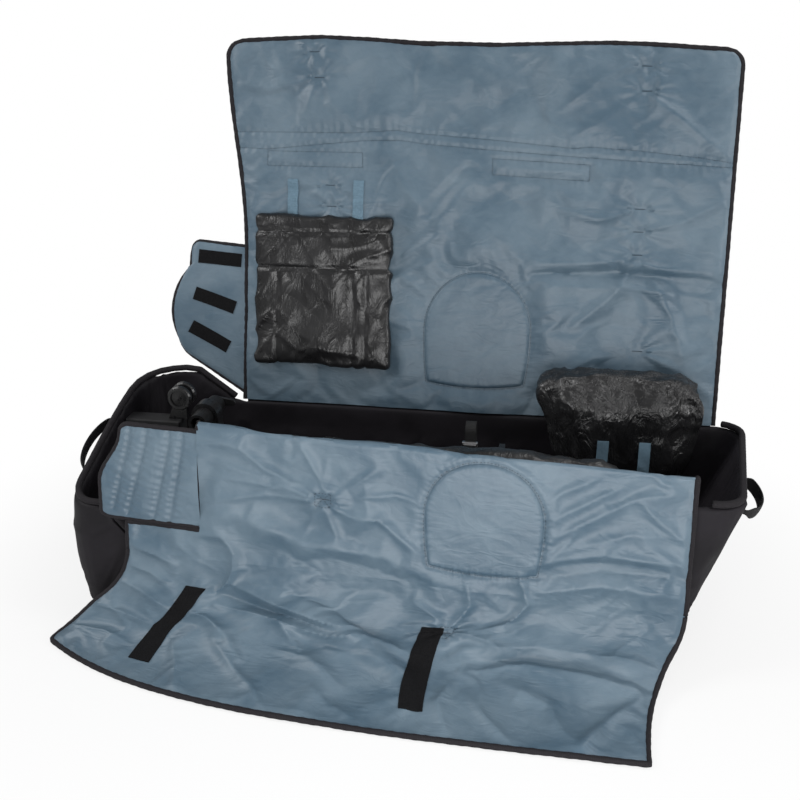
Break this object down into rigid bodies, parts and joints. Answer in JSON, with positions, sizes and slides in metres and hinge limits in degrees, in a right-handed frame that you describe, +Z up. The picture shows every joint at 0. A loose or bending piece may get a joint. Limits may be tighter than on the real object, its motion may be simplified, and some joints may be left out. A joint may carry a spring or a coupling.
{
  "type": "soft bike travel case",
  "caption": "Soft padded travel case for a bicycle, standing open: stiff tray on wheels, padded walls and fold-back flaps, with a sliding fork mount and frame cradle inside.",
  "frame": {"origin": "middle of the base, on the ground under the centre skid", "axes": "+X along the case to its wheeled end, +Y to the rear flap, +Z up"},
  "size_m": [1.4215, 0.8878, 1.1085],
  "materials": {
    "lining": "padded satin nylon, steel blue",
    "shell": "padded matte black fabric",
    "webbing": "black ribbed webbing",
    "hook": "black hook and loop tape",
    "glossy": "thin glossy black nylon",
    "plastic": "moulded black",
    "alloy": "satin anodised",
    "steel": "turned",
    "rubber": "black",
    "blue_web": "steel blue webbing"
  },
  "bodies": {
    "base": {"base_tray": "plastic", "front_skid": "plastic", "centre_skid": "plastic", "rear_skid": "plastic", "front_rail": "alloy", "rear_rail": "alloy", "front_wall": "shell", "rear_wall": "shell", "left_end_wall": "shell", "right_end_wall": "shell", "left_rim_binding": "webbing", "right_rim_binding": "webbing", "front_wheel_housing": "plastic", "rear_wheel_housing": "plastic", "wheel_axle": "steel", "caster_socket": "plastic", "front_flap_root": "lining", "wheel_bag": "glossy", "drivetrain_pouch": "glossy", "left_pouch_strap": "blue_web", "right_pouch_strap": "blue_web", "left_handle_patch": "webbing", "right_handle_patch": "webbing", "pull_tab": "webbing"},
    "front_wheel": {"front_wheel": "rubber"},
    "rear_wheel": {"rear_wheel": "rubber"},
    "caster_swivel": {"caster_arm": "plastic"},
    "caster_wheels": {"caster_wheels": "rubber"},
    "fork_slider": {"fork_shoe": "plastic", "fork_post": "alloy", "fork_cross_tube": "plastic"},
    "through_axle": {"through_axle": "steel", "axle_lever": "alloy"},
    "cradle_slider": {"cradle_shoe": "plastic", "cradle_post": "alloy", "bracket_strap": "webbing", "cam_buckle": "plastic"},
    "buckle_lever": {"buckle_lever": "steel"},
    "rear_flap": {"rear_flap": "lining", "rear_hub_patch": "lining", "left_loop_tape": "hook", "right_loop_tape": "hook", "frame_cover": "glossy", "left_cover_strap": "blue_web", "right_cover_strap": "blue_web"},
    "rear_top": {"rear_top_panel": "lining"},
    "rear_ear": {"rear_ear": "lining", "upper_ear_hook": "hook", "middle_ear_hook": "hook", "lower_ear_hook": "hook"},
    "front_flap": {"front_flap": "lining", "front_hub_patch": "lining"},
    "front_ear": {"front_ear": "lining", "outer_ear_loop": "hook", "inner_ear_loop": "hook"},
    "front_end": {"front_flap_end": "lining", "left_hook_strip": "hook", "right_hook_strip": "hook"},
    "left_handle": {"left_handle": "webbing"},
    "right_handle": {"right_handle": "webbing"}
  },
  "joints": [
    {"name": "front_wheel_spin", "type": "hinge", "parent": "base", "child": "front_wheel", "pos_m": [0.515, -0.12, 0.0445], "axis": [0, 1, 0], "continuous": true},
    {"name": "rear_wheel_spin", "type": "hinge", "parent": "base", "child": "rear_wheel", "pos_m": [0.515, 0.12, 0.0445], "axis": [0, 1, 0], "continuous": true},
    {"name": "caster_swivel", "type": "hinge", "parent": "base", "child": "caster_swivel", "pos_m": [-0.5, 0.055, 0.335], "axis": [0, 0, 1], "continuous": true},
    {"name": "caster_spin", "type": "hinge", "parent": "caster_swivel", "child": "caster_wheels", "pos_m": [-0.48, 0.055, 0.388], "axis": [0, 1, 0], "continuous": true},
    {"name": "fork_mount_slide", "type": "slide", "parent": "base", "child": "fork_slider", "axis": [1, 0, 0], "range_m": [0, 0.2]},
    {"name": "through_axle_turn", "type": "hinge", "parent": "fork_slider", "child": "through_axle", "pos_m": [-0.405, 0, 0.372], "axis": [0, 1, 0], "continuous": true},
    {"name": "cradle_slide", "type": "slide", "parent": "base", "child": "cradle_slider", "axis": [1, 0, 0], "range_m": [-0.1, 0.1]},
    {"name": "buckle_lever_hinge", "type": "hinge", "parent": "cradle_slider", "child": "buckle_lever", "pos_m": [0.16, -0.0289, 0.324], "axis": [1, 0, 0], "range_deg": [0, 95]},
    {"name": "rear_flap_hinge", "type": "hinge", "parent": "base", "child": "rear_flap", "pos_m": [0, 0.206, 0.3348], "axis": [1, 0, 0], "range_deg": [-90, 12]},
    {"name": "rear_top_fold", "type": "hinge", "parent": "rear_flap", "child": "rear_top", "pos_m": [0, 0.32427, 0.91284], "axis": [1, 0, 0], "range_deg": [0, 95]},
    {"name": "rear_ear_fold", "type": "hinge", "parent": "rear_flap", "child": "rear_ear", "pos_m": [-0.38515, 0.24318, 0.53137], "axis": [0, 0.2079, 0.9781], "range_deg": [0, 95]},
    {"name": "front_flap_hinge", "type": "hinge", "parent": "base", "child": "front_flap", "pos_m": [0, -0.2123, 0.4135], "axis": [-0.9991, 0, 0.042], "range_deg": [0, 172]},
    {"name": "front_ear_fold", "type": "hinge", "parent": "front_flap", "child": "front_ear", "pos_m": [-0.34515, -0.22917, 0.32932], "axis": [0, 0.124, 0.9923], "range_deg": [0, 95]},
    {"name": "front_end_fold", "type": "hinge", "parent": "front_flap", "child": "front_end", "pos_m": [0, -0.24926, 0.15408], "axis": [-0.9991, 0, 0.042], "range_deg": [0, 60]},
    {"name": "left_handle_swing", "type": "hinge", "parent": "base", "child": "left_handle", "pos_m": [-0.63887, -0.01678, 0.28876], "axis": [-0.0963, -0.8939, -0.4378], "range_deg": [-45, 45]},
    {"name": "right_handle_swing", "type": "hinge", "parent": "base", "child": "right_handle", "pos_m": [0.69652, -0.05692, 0.29445], "axis": [0.1291, 0.9916, 0], "range_deg": [-45, 45]}
  ]
}
